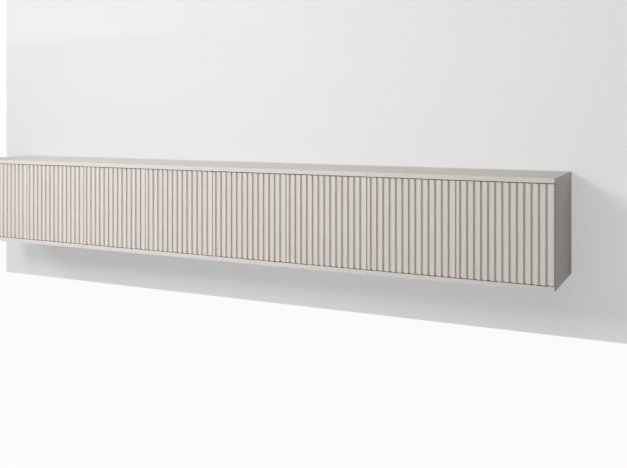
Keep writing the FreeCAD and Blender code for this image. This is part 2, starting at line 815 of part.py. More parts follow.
shelves, back_panels, pins, rails = [], [], [], []
brackets, dowels, cam_locks = [], [], []
for cabinet in range(cabinet_count):
    name = f"cabinet_{cabinet + 1}"
    save(name + "_top_panel", flat_panel(cabinet, z_under_top, z_top))
    save(name + "_bottom_panel", flat_panel(cabinet, z_bottom, z_over_bottom))
    save(name + "_left_side", side_panel(cabinet, 0))
    save(name + "_right_side", side_panel(cabinet, 1))
    back_panels.append(back_panel(cabinet))
    shelves.append(shelf(cabinet))
    pins += shelf_pins(cabinet)
    rails.append(wall_rail(cabinet))
    for index in (0, 1):
        brackets.append(hanger_bracket(cabinet, index))
        brackets += bracket_screws(cabinet, index)
    dowels += dowel_rods(cabinet)
    cam_locks += cam_bolts(cabinet)
    cam_locks += [cut_all(cam, cam_bolts(cabinet, 2 * fit, end_fit)) for cam in cams(cabinet)]

save("back_panels", back_panels)
save("shelves", shelves)
save("shelf_pins", pins)
save("wall_rails", rails)
save("hanger_brackets", brackets)
save("wooden_dowels", dowels)
save("cam_locks", cam_locks)
save("cabinet_connectors",
     [part for seam_index in range(1, cabinet_count)
      for part in seam_connectors(cabinet_x(seam_index))])

arms, plates, housings = [], [], []
for number in range(door_count):
    name = f"door_{number + 1}"
    save(name, door(number))
    cups, links = [], []
    for z in hinge_heights:
        cups += [at_hinge(part, number, z) for part in [hinge_cup(), cup_pin()] + cup_screws()]
        links.append(at_hinge(hinge_link(), number, z))
        arms += [at_hinge(part, number, z) for part in [hinge_arm(), arm_rivet()] + arm_screws()]
        plates += [at_hinge(part, number, z) for part in [mounting_plate()] + plate_screws()]
    save(name + "_hinge_cups", cups)
    save(name + "_hinge_links", links)
    save(name + "_latch_plunger", [at_hinge(part, number, latch_z) for part in plunger()])
    housings += [at_hinge(part, number, latch_z) for part in [latch_housing()] + latch_screws()]

save("hinge_arms", arms)
save("hinge_mounting_plates", plates)
save("push_latch_housings", housings)
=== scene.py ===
# %% [markdown]
# # A wall-hung media console, dressed
#
# The console is already built as exact solids: boards, doors, hinges, latches and rails. This
# notebook puts a camera, a plain room and lamps around them, gives each a finish, and models by
# hand the pieces that deserve more shape. Every length is in metres. X runs along the wall to
# the right, Y runs into the wall and Z is up.

# %% Load the solids
import math

import bpy
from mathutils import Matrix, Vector


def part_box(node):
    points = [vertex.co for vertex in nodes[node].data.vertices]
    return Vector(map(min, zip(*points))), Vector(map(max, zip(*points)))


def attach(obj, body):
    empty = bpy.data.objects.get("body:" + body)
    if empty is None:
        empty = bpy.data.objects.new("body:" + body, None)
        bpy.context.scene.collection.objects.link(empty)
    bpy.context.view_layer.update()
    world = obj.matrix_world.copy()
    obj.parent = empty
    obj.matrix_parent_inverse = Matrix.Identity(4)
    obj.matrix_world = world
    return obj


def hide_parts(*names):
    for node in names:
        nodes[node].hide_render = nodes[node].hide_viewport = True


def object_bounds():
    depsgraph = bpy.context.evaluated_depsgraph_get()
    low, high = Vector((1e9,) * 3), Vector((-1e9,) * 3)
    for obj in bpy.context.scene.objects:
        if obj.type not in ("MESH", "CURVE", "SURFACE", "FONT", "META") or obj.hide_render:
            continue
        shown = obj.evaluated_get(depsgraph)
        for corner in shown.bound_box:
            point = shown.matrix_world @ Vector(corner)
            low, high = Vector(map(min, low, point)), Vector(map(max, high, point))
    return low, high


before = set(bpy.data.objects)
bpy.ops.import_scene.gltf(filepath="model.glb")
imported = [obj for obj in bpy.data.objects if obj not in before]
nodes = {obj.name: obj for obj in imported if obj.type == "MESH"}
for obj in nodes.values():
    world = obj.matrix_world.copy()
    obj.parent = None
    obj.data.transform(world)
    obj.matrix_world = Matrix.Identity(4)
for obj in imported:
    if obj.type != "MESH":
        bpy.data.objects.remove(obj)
solid_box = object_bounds()
print("box", [round(v, 4) for corner in solid_box for v in corner])

# %% [markdown]
# ## The places that the rest is built from
#
# A few planes come up again and again: the front of the doors, the top and the underside, the
# ends, the wall and the floor. They are read from the solids, so they can't drift from them.

# %% Planes of the console
left_end, front_plane, underside = solid_box[0]
right_end, wall_plane, top_plane = solid_box[1]
height_over_floor = 0.252
floor_plane = underside - height_over_floor
console_middle = (Vector(solid_box[0]) + Vector(solid_box[1])) / 2
door_count = sum(name.startswith("door_") and name.endswith("_hinge_cups") for name in nodes)
cabinet_count = door_count // 2
print("front", round(front_plane, 4), "top", round(top_plane, 4), "doors", door_count)

# %% [markdown]
# ## The camera
#
# A level camera keeps upright edges upright. It stands in front of the right-hand end and looks
# 26 degrees to the left, so the long front runs away from us. Tilting it would make the
# uprights lean, so its lens is shifted instead and the picture slides down, as with an
# architect's shift lens.

# %% Camera
camera_data = bpy.data.cameras.new("camera")
camera = bpy.data.objects.new("camera", camera_data)
bpy.context.scene.collection.objects.link(camera)
camera_data.sensor_width = 36.0
camera_data.lens = 46.73
camera_data.shift_y = -0.1915
camera_yaw = math.radians(26.025)
camera.location = (1.912, -3.317, top_plane + 0.226)
camera.rotation_euler = (math.radians(90), 0, camera_yaw)
bpy.context.scene.camera = camera
print("camera at", [round(v, 3) for v in camera.location])

# %% [markdown]
# ## Small helpers for node trees
#
# A material is a tree of nodes. Adding one takes the same steps each time: make it, and set or
# link its inputs. A socket knows the tree that it belongs to, so most of these helpers need
# only the sockets and numbers they work on.

# %% Helpers for nodes
def add(tree, kind, inputs=None, **settings):
    """A node in tree. An input that is a socket is linked, and any other is set."""
    node = tree.nodes.new(kind)
    for name, value in settings.items():
        setattr(node, name, value)
    for name, value in (inputs or {}).items():
        socket = node.inputs[name]
        if isinstance(value, bpy.types.NodeSocket):
            tree.links.new(value, socket)
        else:
            socket.default_value = value
    return node


def calculated(operation, *values, clamp=False):
    """A math node's output. The node goes where the first socket among its values is."""
    tree = next(value.id_data for value in values if isinstance(value, bpy.types.NodeSocket))
    node = add(tree, "ShaderNodeMath", dict(enumerate(values)), operation=operation)
    node.use_clamp = clamp
    return node.outputs[0]


def times(first, second):
    return calculated("MULTIPLY", first, second)


def minus(first, second, clamp=False):
    return calculated("SUBTRACT", first, second, clamp=clamp)


def times_plus(value, factor, extra, clamp=False):
    return calculated("MULTIPLY_ADD", value, factor, extra, clamp=clamp)


def ramp(value, start, end, first=0.0, last=1.0):
    """A number that goes evenly from first to last while value goes from start to end."""
    return add(value.id_data, "ShaderNodeMapRange",
               {"Value": value, "From Min": start, "From Max": end,
                "To Min": first, "To Max": last}).outputs[0]


def split(vector):
    """The X, Y and Z of a vector."""
    return add(vector.id_data, "ShaderNodeSeparateXYZ", {0: vector}).outputs


def new_material(name):
    """A new material, its tree, its shader and its object coordinates."""
    material = bpy.data.materials.new(name)
    material.use_nodes = True
    tree = material.node_tree
    coordinates = add(tree, "ShaderNodeTexCoord").outputs["Object"]
    return material, tree, tree.nodes["Principled BSDF"], coordinates

# %% [markdown]
# ## The room
#
# The console hangs on a pale wall over a white floor, each one big plane. Both are clear from
# behind, so the back and the underside can be looked at too. What the camera sees of them is
# partly a pale tone of their own, mixed in where the ray comes straight from the camera. So
# they stay pale, both keep their soft shadows, and no more light falls on the console.

# %% Finish: wall and floor
def mixed(share, first, second):
    """A shader between two others."""
    return add(share.id_data, "ShaderNodeMixShader",
               {0: share, 1: first.outputs[0], 2: second.outputs[0]})


def room_finish(name, colour, share, own_tone, shade=None, also_clear=None):
    """A matte surface, clear from behind, of which a share is own_tone for the camera.

    The function shade gives a factor for own_tone, and also_clear a mask of what is clear."""
    material, tree, shader, coordinates = new_material(name)
    shader.inputs["Base Color"].default_value = (*colour, 1)
    shader.inputs["Roughness"].default_value = 0.9
    shader.inputs["Specular IOR Level"].default_value = 0.1
    light_path = add(tree, "ShaderNodeLightPath").outputs
    strength = shade(coordinates) if shade else 1.0
    own = add(tree, "ShaderNodeEmission", {"Color": (own_tone, own_tone, own_tone, 1),
                                           "Strength": strength})
    seen = times(light_path["Is Camera Ray"], share)
    clear = add(tree, "ShaderNodeBsdfTransparent")
    where = add(tree, "ShaderNodeNewGeometry").outputs["Backfacing"]
    if also_clear:
        where = calculated("MAXIMUM", where, also_clear(coordinates, light_path))
    surface = mixed(where, mixed(seen, shader, own), clear)
    tree.links.new(surface.outputs[0], tree.nodes["Material Output"].inputs["Surface"])
    return material

# %% [markdown]
# ### The wall's own tone, with painted shade and light
#
# The wall's own tone is painted a little deeper under the console and far to its left, and paler
# to its right: painted shade and painted light, as a wall has in a room with light from one
# side. Behind the console it has no tone of its own, so it is dark where it shows through a
# cable cut-out. It is also clear to rays that start on the console's back, a hand's breadth
# from it: they would find no light in the narrow space there, and the back would be black.

# %% Room
def behind_the_console(coordinates, margin=0.0):
    """A mask of the part of the wall that the console covers, less a margin."""
    place = split(coordinates)
    half_width = (right_end - left_end) / 2 - margin
    half_height = (top_plane - underside) / 2 - margin
    return times(calculated("COMPARE", place["X"], console_middle.x, half_width),
                 calculated("COMPARE", place["Z"], console_middle.z, half_height))


def painted_wall_shade(coordinates):
    """How bright the wall's own tone is: painted shade below and to the left, painted light to the
    right. Each ramp says between which two places it changes.
    """
    place = split(coordinates)
    # painted shade: darker towards the floor and, below 0.7 m, to the left; painted light: paler
    # right of the console, below 0.4 m
    low = ramp(place["Z"], -0.45, 0.5, 0.90, 1.0)
    left = ramp(place["X"], -1.6, 0.3, 0.88, 1.0)
    kept = calculated("MAXIMUM", ramp(place["Z"], 0.25, 0.7), left)
    beside = times(ramp(place["X"], 1.35, 1.75, 0.0, 0.13), ramp(place["Z"], 0.0, 0.4, 1.0, 0.0))
    tone = calculated("ADD", times(low, kept), beside)
    return times(tone, minus(1.0, behind_the_console(coordinates, margin=0.003)))


def clear_to_the_back(coordinates, light_path, reach=0.06):
    """A mask of the short rays that meet the wall from the console's back."""
    short = calculated("LESS_THAN", light_path["Ray Length"], reach)
    return times(behind_the_console(coordinates), short)


def room_plane(name, low, high, material):
    """An upright or level rectangle between two corners, facing the console."""
    corners = [low, (high[0], low[1], low[2]), high, (low[0], high[1], high[2])]
    mesh = bpy.data.meshes.new(name)
    mesh.from_pydata(corners, [], [(0, 1, 2, 3)])
    plane = bpy.data.objects.new(name, mesh)
    bpy.context.scene.collection.objects.link(plane)
    mesh.materials.append(material)


wall_left, far, room_height = -1.607, 9.0, 3.2
room_plane("wall", (wall_left, wall_plane, floor_plane), (far, wall_plane, room_height),
           room_finish("wall_paint", (0.8, 0.8, 0.8), 0.50, 0.84, painted_wall_shade, clear_to_the_back))
room_plane("floor", (-far, -far, floor_plane), (far, far, floor_plane),
           room_finish("white_floor", (0.5, 0.5, 0.5), 0.95, 1.0))
print("wall from", wall_left, "to", far, "floor at", round(floor_plane, 3))

# %% [markdown]
# ## The light
#
# A broad lamp stands high on the left, and a smaller one nearer, in front of the left half. So
# the far end is a little brighter, and the slats on the right are lit more from the side. A
# weak broad lamp in front softens what they leave dark, one behind the wall lights the back,
# and a pale world fills the shadows. Their sum is near one, so colours come out about as they
# are written.

# %% Lamps and world
def soft_lamp(name, place, aim, size, power):
    """A square area lamp that points at aim."""
    data = bpy.data.lights.new(name, "AREA")
    data.shape, data.size, data.energy = "SQUARE", size, power
    lamp = bpy.data.objects.new(name, data)
    lamp.location = place
    lamp.rotation_euler = (Vector(aim) - Vector(place)).to_track_quat("-Z", "Y").to_euler()
    bpy.context.scene.collection.objects.link(lamp)


soft_lamp("high_left", (-4.5, -3.2, 3.0), (-0.3, -0.2, -0.1), 2.0, 91)
soft_lamp("near", (-0.9, -3.8, 1.4), (-0.5, -0.4, -0.1), 0.8, 80)
soft_lamp("front", (0.3, -6.0, 1.4), (0.0, 0.0, 0.2), 4.0, 51)
soft_lamp("behind", (1.2, 4.0, 1.6), (0.0, 0.0, -0.1), 2.5, 130)
print("lamps", [lamp.name for lamp in bpy.data.lights])

world = bpy.data.worlds.new("studio")
bpy.context.scene.world = world
world.use_nodes = True
sky = world.node_tree
fill, seen = (add(sky, "ShaderNodeBackground", {"Color": (1, 1, 1, 1), "Strength": strength})
              for strength in (0.222, 1.0))
path = add(sky, "ShaderNodeLightPath").outputs
direct = calculated("MAXIMUM", path["Is Camera Ray"], path["Is Transmission Ray"])
sky.links.new(mixed(direct, fill, seen).outputs[0], sky.nodes["World Output"].inputs["Surface"])
bpy.context.scene.view_settings.view_transform = "Standard"

# %% [markdown]
# ## Groups that several finishes share
#
# Real materials are never one flat colour. A board has a faint mottle and a pressed grain, raw
# edges show fibres and chips, metal shows how it was rolled or plated. Each of these effects is
# a shader group: a small tree with named sockets, built once and placed in every finish that
# needs it. A group gives only numbers, and the finish makes them colour, roughness or bump.

# %% Tools for groups
def new_group(name, numbers, outputs):
    """A shader group that takes a vector, and numbers, which are given with their defaults."""
    group = bpy.data.node_groups.new(name, "ShaderNodeTree")
    group.interface.new_socket("Vector", in_out="INPUT", socket_type="NodeSocketVector")
    for label, default in numbers.items():
        socket = group.interface.new_socket(label, in_out="INPUT", socket_type="NodeSocketFloat")
        socket.default_value = default
    for label in outputs:
        group.interface.new_socket(label, in_out="OUTPUT", socket_type="NodeSocketFloat")
    return group, add(group, "NodeGroupInput").outputs, add(group, "NodeGroupOutput").inputs


def give(group, result, **values):
    """Link values to a group's named outputs."""
    for label, value in values.items():
        group.links.new(value, result[label])
    print("group", group.name, "gives", list(values))


def use_group(group, vector, **numbers):
    """The outputs of a group placed beside vector. An underscore in a name is a space."""
    inputs = {name.replace("_", " "): value for name, value in numbers.items()}
    return add(vector.id_data, "ShaderNodeGroup", {"Vector": vector, **inputs},
               node_tree=group).outputs

# %% [markdown]
# Inside the groups and the finishes the same few patterns come again: a noise, a random tone
# for each cell, a squeezed vector, and a soft mask between two planes. A finish ends with a
# colour, a roughness and a relief, which becomes a bump.

# %% Tools for patterns and finishes
def noise(vector, scale, detail, **more):
    """The value of a noise."""
    return add(vector.id_data, "ShaderNodeTexNoise",
               {"Vector": vector, "Scale": scale, "Detail": detail, **more}).outputs[0]


def cell_tone(vector, scale):
    """A random number for each cell of a pattern of cells."""
    cells = add(vector.id_data, "ShaderNodeTexVoronoi", {"Vector": vector, "Scale": scale})
    return add(vector.id_data, "ShaderNodeSeparateColor", {0: cells.outputs["Color"]}).outputs[0]


def squeezed(vector, x, y, z, turn=(0, 0, 0)):
    """The vector turned and scaled. A small scale draws the pattern out along its axis."""
    return add(vector.id_data, "ShaderNodeMapping",
               {"Vector": vector, "Rotation": turn, "Scale": (x, y, z)}).outputs[0]


def blend_colours(share, first, second):
    """A colour between two others. Each is a socket or a linear (red, green, blue)."""
    colours = [colour if isinstance(colour, bpy.types.NodeSocket) else (*colour, 1)
               for colour in (first, second)]
    return add(share.id_data, "ShaderNodeMix", {0: share, 6: colours[0], 7: colours[1]},
               data_type="RGBA").outputs[2]


def between(value, low, high, softness=0.00005):
    """A mask that is 1 where value lies between low and high, with soft ends."""
    return times(ramp(value, low - softness, low + softness),
                 ramp(value, high - softness, high + softness, 1.0, 0.0))


def dress(shader, colour, rough, relief, distance, strength):
    """Link a colour, a roughness and, as a bump, a relief to a shader."""
    tree = shader.id_data
    bump = add(tree, "ShaderNodeBump", {"Height": relief, "Distance": distance,
                                        "Strength": strength})
    tree.links.new(colour, shader.inputs["Base Color"])
    tree.links.new(rough, shader.inputs["Roughness"])
    tree.links.new(bump.outputs[0], shader.inputs["Normal"])

# %% [markdown]
# ### Pressed grain
#
# Melamine board, lacquer and moulded plastic share one trait: a skin with slow, faint clouds of
# tone and a fine relief, from the press plate, the spray gun or the etched mould. A large noise
# makes the clouds and a small one the relief. Grains closer together than a millimetre read as
# "matte" from a distance and only show close up, as on the real thing.

# %% Group: skin
skin, given, result = new_group("skin", {"Grains per metre": 2500.0},
                                ("Cloud", "Relief", "Fleck"))
vector, grains = given["Vector"], given["Grains per metre"]
cells = add(skin, "ShaderNodeTexVoronoi", {"Vector": vector, "Scale": grains},
            feature="SMOOTH_F1")
give(skin, result, Cloud=noise(vector, 7.0, 4.0),
     Fleck=noise(vector, times(grains, 0.12), 3.0, Roughness=0.7),
     Relief=times_plus(cells.outputs["Distance"], 0.6, noise(vector, grains, 2.0)))



def skin_colour(surface, dark, pale, specks, speck_colour):
    """A colour clouded between dark and pale, with a share of specks."""
    colour = blend_colours(surface["Cloud"], dark, pale)
    return blend_colours(times(surface["Fleck"], specks), colour, speck_colour)

# %% [markdown]
# ### Fibres and chips
#
# A board's raw back edge shows pressed wood chips, the back panel's cut edge shows fine fibre,
# and a dowel shows long beech fibres with short dark rays. All are one idea at different
# stretches: a noise for the fibres, and cells for the chips. The vector is squeezed before it
# comes in, so the group itself knows nothing of directions.

# %% Group: fibres
fibres, given, result = new_group("fibres", {"Fibres per metre": 900.0},
                                  ("Fibre", "Chip", "Pore"))
vector, per_metre = given["Vector"], given["Fibres per metre"]
strands = noise(vector, per_metre, 5.0, Distortion=0.4)
give(fibres, result, Fibre=strands, Chip=cell_tone(vector, times(per_metre, 0.35)),
     Pore=ramp(strands, 0.62, 0.72))

# %% [markdown]
# ### Worked metal
#
# Plated and rolled metal carries fine lines from its tools and a soft, uneven haze where hands
# and cloths have been. The lines are a noise squeezed along one axis, the haze a slow noise.
# Roughness gets most of it, because that is how such marks are seen: in the reflections.

# %% Group: worked metal
worked, given, result = new_group(
    "worked_metal", {"Lines per metre": 3000.0, "Haze per metre": 40.0},
    ("Lines", "Haze", "Scratch"))
vector = given["Vector"]
marks = noise(squeezed(vector, 1.0, 0.02, 1.0, turn=(0.4, 0.7, 0.3)), 500.0, 1.0)
give(worked, result, Scratch=ramp(marks, 0.70, 0.74),
     Lines=noise(squeezed(vector, 1.0, 0.04, 1.0), given["Lines per metre"], 2.0),
     Haze=noise(vector, given["Haze per metre"], 4.0, Roughness=0.6))

# %% [markdown]
# ## Greige boards
#
# The top, bottom and side panels and the shelves are chipboard with a matte greige skin. Their
# front edge is closed with a millimetre of edging in the same colour, and where the edging
# meets the face there is a hair line. The edge against the wall is left raw. One function makes
# the finish, because the three kinds of board differ only in where their edges lie.

# %% Finish: boards
greige = (0.70, 0.667, 0.626)
greige_light = (0.715, 0.683, 0.642)
edging_colour = (0.69, 0.656, 0.614)
glue_line = (0.42, 0.385, 0.345)
chip_dark, chip_pale = (0.30, 0.19, 0.10), (0.62, 0.46, 0.29)
edging_thickness = 0.001


def board_finish(name, front_edge, back_edge):
    """Matte skin, an edging line behind front_edge, and raw chips on the face at back_edge."""
    material, _, shader, coordinates = new_material(name)
    depth_in = split(coordinates)["Y"]
    surface = use_group(skin, coordinates, Grains_per_metre=1800.0)
    chips = use_group(fibres, coordinates, Fibres_per_metre=900.0)
    behind = minus(depth_in, front_edge)
    line = between(behind, edging_thickness, edging_thickness + 0.00015)
    raw = between(depth_in, back_edge - 0.0002, back_edge + 0.01)
    face = skin_colour(surface, greige, greige_light, 0.05, glue_line)
    face = blend_colours(between(behind, -0.01, edging_thickness), face, edging_colour)
    face = blend_colours(times(line, 0.6), face, glue_line)
    core = blend_colours(chips["Chip"], chip_dark, chip_pale)
    core = blend_colours(times(chips["Fibre"], 0.5), core, chip_dark)
    rough = times_plus(raw, 0.35, times_plus(surface["Cloud"], 0.12, 0.50), clamp=True)
    relief = times_plus(times(raw, chips["Chip"]), 3.0, surface["Relief"])
    dress(shader, blend_colours(raw, face, core), rough, minus(relief, times(line, 4.0)),
          distance=0.00002, strength=0.15)
    return material


side_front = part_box("cabinet_1_left_side")[0][1]
shelf_low, shelf_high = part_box("shelves")
flat_panel_finish = board_finish("greige_flat_panels", front_plane, wall_plane)
side_panel_finish = board_finish("greige_side_panels", side_front, wall_plane)
shelf_finish = board_finish("greige_shelves", shelf_low[1], shelf_high[1])


def finish_in(piece, material):
    """Give a piece one finish."""
    piece.data.materials.clear()
    piece.data.materials.append(material)


def paint(material, *names):
    """Give each of these solids one finish."""
    for name in names:
        finish_in(nodes[name], material)


def ending(*endings):
    """The names of the solids that end in one of these."""
    return [name for name in nodes if name.endswith(endings)]


paint(flat_panel_finish, *ending("top_panel", "bottom_panel"))
paint(side_panel_finish, *ending("left_side", "right_side"))
paint(shelf_finish, "shelves")
print("boards painted, side panels start at", round(side_front, 4))

# %% [markdown]
# ## Lacquered fronts
#
# The doors are fibreboard, milled into slats and then sprayed, so the colour goes all round.
# Three things keep them from looking like plastic: the rounded arrises are a little glossier
# and painted paler, a painted highlight; the groove floors keep cutter marks, and the grooves
# darken with depth, a little dust and partly painted shade; and no two slats are quite the
# same tone. All three come from where a point lies across its door: the remainder after the
# door pitch, and then after the slat pitch.

# %% Finish: slatted fronts
seam_gap = 0.0004                # between two cabinets
door_pitch = (right_end - left_end + seam_gap) / door_count
slat_pitch, first_strip, groove_width, groove_depth = 0.0259, 0.0124, 0.0120, 0.0080
row_start = left_end - seam_gap / 2
door_side_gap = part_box("door_1")[0][0] - row_start
arris_width = 0.0012

slatted, tree, shader, coordinates = new_material("slatted_front")
place = split(coordinates)
along = minus(place["X"], row_start)
in_door = minus(calculated("FLOORED_MODULO", along, door_pitch), door_side_gap)
from_first = minus(in_door, first_strip)
in_pitch = calculated("FLOORED_MODULO", from_first, slat_pitch)
slat_number = calculated("FLOOR", calculated("DIVIDE", from_first, slat_pitch))
door_number = calculated("FLOOR", calculated("DIVIDE", along, door_pitch))
depth_in = minus(place["Y"], front_plane)
milled_part = between(depth_in, -0.001, groove_depth + 0.0006, 0.0002)
in_groove = between(in_pitch, 0.0, groove_width, 0.0003)
floor_share = times(times(in_groove, ramp(depth_in, 0.001, groove_depth)), milled_part)
on_floor = times(between(depth_in, groove_depth - 0.0004, groove_depth + 0.0004, 0.0002),
                 in_groove)
either_side = calculated("MAXIMUM", calculated("COMPARE", in_pitch, 0.0, arris_width),
                         calculated("COMPARE", in_pitch, groove_width, arris_width))
arris = times(either_side, between(depth_in, -0.001, arris_width, 0.0002))
print("door pitch", round(door_pitch, 4), "side gap", round(door_side_gap, 4))

# %% [markdown]
# These masks now say where each mark goes: a tone for each slat, a painted highlight on the
# arrises, and the cutter's streaks in a darkening of the grooves that grows with depth, a
# little dust and partly painted shade. The streaks run up the door, because the cutter did, so
# their noise is squeezed to three hundredths in that direction.

# %% Colour and relief of the fronts
tone_seed = add(tree, "ShaderNodeCombineXYZ", {0: slat_number, 1: door_number})
slat_tone = add(tree, "ShaderNodeTexWhiteNoise", {"Vector": tone_seed.outputs[0]})
cutter = noise(squeezed(coordinates, 1.0, 1.0, 0.03), 900.0, 2.0)
surface = use_group(skin, coordinates, Grains_per_metre=1400.0)
colour = blend_colours(surface["Cloud"], (0.704, 0.661, 0.619), (0.719, 0.677, 0.635))
tint = times(times(slat_tone.outputs["Value"], 0.05), milled_part)
colour = blend_colours(tint, colour, glue_line)
# painted highlight: the arrises are painted paler
colour = blend_colours(times(arris, 0.25), colour, (0.80, 0.775, 0.735))
# dust and painted shade: the grooves are painted darker the deeper they go, streaked by the cutter
dust_and_painted_shade = times(floor_share, times_plus(cutter, 0.06, 0.02))
rough = times_plus(floor_share, 0.15, times_plus(surface["Cloud"], 0.10, 0.42))
dress(shader, blend_colours(dust_and_painted_shade, colour, (0.36, 0.33, 0.295)),
      minus(rough, times(arris, 0.08), clamp=True),
      times_plus(times(on_floor, cutter), 2.0, surface["Relief"]),
      distance=0.00002, strength=0.12)
print("finish", slatted.name)

# %% [markdown]
# ## The back panels
#
# Eight millimetres of board closes each cabinet at the back. Its faces wear the same skin, a
# little duller, and where the cable opening is cut through, the fibres of the core show. The
# cut edge lies strictly between the two faces, so a mask on depth finds it.

# %% Finish: back panels
back_low, back_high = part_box("back_panels")
back_board, _, shader, coordinates = new_material("back_board")
surface = use_group(skin, coordinates, Grains_per_metre=1500.0)
core = use_group(fibres, coordinates, Fibres_per_metre=2600.0)["Fibre"]
cut_edge = between(split(coordinates)["Y"], back_low[1] + 0.0003, back_high[1] - 0.0003, 0.0001)
face = skin_colour(surface, (0.66, 0.628, 0.588), (0.68, 0.648, 0.608), 0.08, glue_line)
core_colour = blend_colours(core, (0.38, 0.25, 0.14), (0.56, 0.41, 0.26))
rough = times_plus(surface["Cloud"], 0.08, times_plus(cut_edge, 0.3, 0.62), clamp=True)
dress(shader, blend_colours(cut_edge, face, core_colour), rough,
      times_plus(times(cut_edge, core), 4.0, surface["Relief"]), distance=0.00003, strength=0.5)
paint(back_board, "back_panels")
print("back panels from", round(back_low[1], 4), "to", round(back_high[1], 4))

# %% [markdown]
# ## Metals
#
# Three metals do the hidden work. Hinges, pins and connectors are steel with a bright nickel
# plate. The rails and their brackets are galvanised: hot zinc freezes on steel in flat
# crystals, the spangle, which cells imitate well. The cams are cast in zinc alloy, greyer and
# grainier. One function makes what they share, and each metal adds its own mark.

# %% Finish: metals
def metal_finish(name, dark, pale, roughness, spread, lines, spangle=0.0, grain=0.0):
    """A metal with tool lines and haze, and a spangle or a cast grain where they are given."""
    material, _, shader, coordinates = new_material(name)
    shader.inputs["Metallic"].default_value = 1.0
    marks = use_group(worked, coordinates, Lines_per_metre=lines)
    tone, relief = marks["Haze"], marks["Lines"]
    if spangle:
        tone = times_plus(cell_tone(coordinates, spangle), 0.6, times(tone, 0.4))
    if grain:
        relief = times_plus(noise(coordinates, grain, 3.0), 3.0, relief)
    colour = blend_colours(times(marks["Scratch"], 0.35), blend_colours(tone, dark, pale), pale)
    rough = times_plus(marks["Lines"], 0.08, times_plus(tone, spread, roughness), clamp=True)
    dress(shader, colour, rough, relief, distance=0.00002, strength=0.35)
    return material


nickelled_steel = metal_finish(
    "nickelled_steel", (0.56, 0.54, 0.50), (0.70, 0.68, 0.64),
    roughness=0.20, spread=0.16, lines=4000.0)
galvanised_steel = metal_finish(
    "galvanised_steel", (0.42, 0.44, 0.46), (0.62, 0.64, 0.66),
    roughness=0.34, spread=0.20, lines=1500.0, spangle=160.0)
zinc_alloy = metal_finish(
    "zinc_alloy", (0.42, 0.43, 0.44), (0.55, 0.56, 0.57),
    roughness=0.42, spread=0.14, lines=1200.0, grain=2200.0)
paint(nickelled_steel, "hinge_arms", "hinge_mounting_plates", "shelf_pins", "cabinet_connectors",
      *ending("_hinge_links", "_hinge_cups"))
paint(galvanised_steel, "wall_rails", "hanger_brackets")
paint(zinc_alloy, "cam_locks")
print("metals", [m.name for m in (nickelled_steel, galvanised_steel, zinc_alloy)])

# %% [markdown]
# ## Beech dowels and moulded plastic
#
# The dowels that line the boards up are beech: long pale fibres along the peg with short dark
# flecks. The latch housings and their rods are moulded in warm grey plastic, and the tips that
# meet the doors are soft and nearly white, so they leave no mark.

# %% Finish: dowels, plastic and soft tips
beech, _, shader, coordinates = new_material("beech")
grain = use_group(fibres, squeezed(coordinates, 1.0, 1.0, 0.06), Fibres_per_metre=1600.0)
colour = blend_colours(grain["Fibre"], (0.46, 0.28, 0.15), (0.68, 0.47, 0.29))
dress(shader, blend_colours(times(grain["Pore"], 0.5), colour, (0.25, 0.13, 0.06)),
      times_plus(grain["Fibre"], 0.2, 0.6, clamp=True), grain["Fibre"],
      distance=0.00006, strength=0.5)
paint(beech, "wooden_dowels")


def moulded_finish(name, dark, pale, roughness, grains, strength):
    """Moulded plastic or rubber: an etched skin with faint clouds."""
    material, _, shader, coordinates = new_material(name)
    surface = use_group(skin, coordinates, Grains_per_metre=grains)
    dress(shader, skin_colour(surface, dark, pale, 0.12, dark),
          times_plus(surface["Fleck"], 0.15, roughness, clamp=True), surface["Relief"],
          distance=0.00004, strength=strength)
    return material


grey_plastic = moulded_finish("grey_plastic", (0.30, 0.29, 0.275), (0.34, 0.33, 0.315),
                              roughness=0.45, grains=4500.0, strength=0.5)
soft_tip = moulded_finish("soft_tip", (0.66, 0.65, 0.62), (0.72, 0.71, 0.68),
                          roughness=0.70, grains=3000.0, strength=0.3)
paint(grey_plastic, "push_latch_housings", *ending("_latch_plunger"))
print("plastics", grey_plastic.name, soft_tip.name)

# %% [markdown]
# ## Tools for modelling
#
# Every new piece starts as a primitive and is then worked in edit mode, as by hand. An operator
# acts on all that is selected, so each start first deselects everything, and puts the new
# piece's place into its mesh, where later steps expect it.

# %% Tools that start a piece
from mathutils import Matrix


def object_mode():
    """Leave edit mode and deselect everything."""
    if bpy.context.mode != "OBJECT":
        bpy.ops.object.mode_set(mode="OBJECT")
    bpy.ops.object.select_all(action="DESELECT")


def started(name):
    """Name the primitive that was just added, and put its place into its mesh."""
    piece = bpy.context.object
    piece.name = piece.data.name = name
    bpy.ops.object.transform_apply(location=True, rotation=True, scale=True)
    return piece


def plate(name, low, high):
    """A flat rectangle at the height of low. It looks down, because it will be drawn up."""
    object_mode()
    middle = ((low[0] + high[0]) / 2, (low[1] + high[1]) / 2, low[2])
    bpy.ops.mesh.primitive_plane_add(size=1, location=middle, rotation=(math.pi, 0, 0))
    bpy.context.object.scale = (high[0] - low[0], high[1] - low[1], 1)
    return started(name)


def block(name, low, high):
    """A box between two corners."""
    object_mode()
    low, high = Vector(low), Vector(high)
    bpy.ops.mesh.primitive_cube_add(size=1, location=(low + high) / 2, scale=high - low)
    return started(name)


def disc(name, centre, radius, facing, sides):
    """A filled circle that looks along facing."""
    object_mode()
    turn = Vector(facing).to_track_quat("Z", "Y").to_euler()
    bpy.ops.mesh.primitive_circle_add(vertices=sides, radius=radius, fill_type="NGON",
                                      location=centre, rotation=turn)
    return started(name)

# %% [markdown]
# ### Shaping
#
# Faces, edges and points are picked by where they are: a test on the middle of each. Moves and
# scales get their centre given, because there is no window to take it from. Round pieces are
# made as on a lathe: a disc is drawn out along its axis, and each step gets its own radius.

# %% Tools that shape a piece
import bmesh


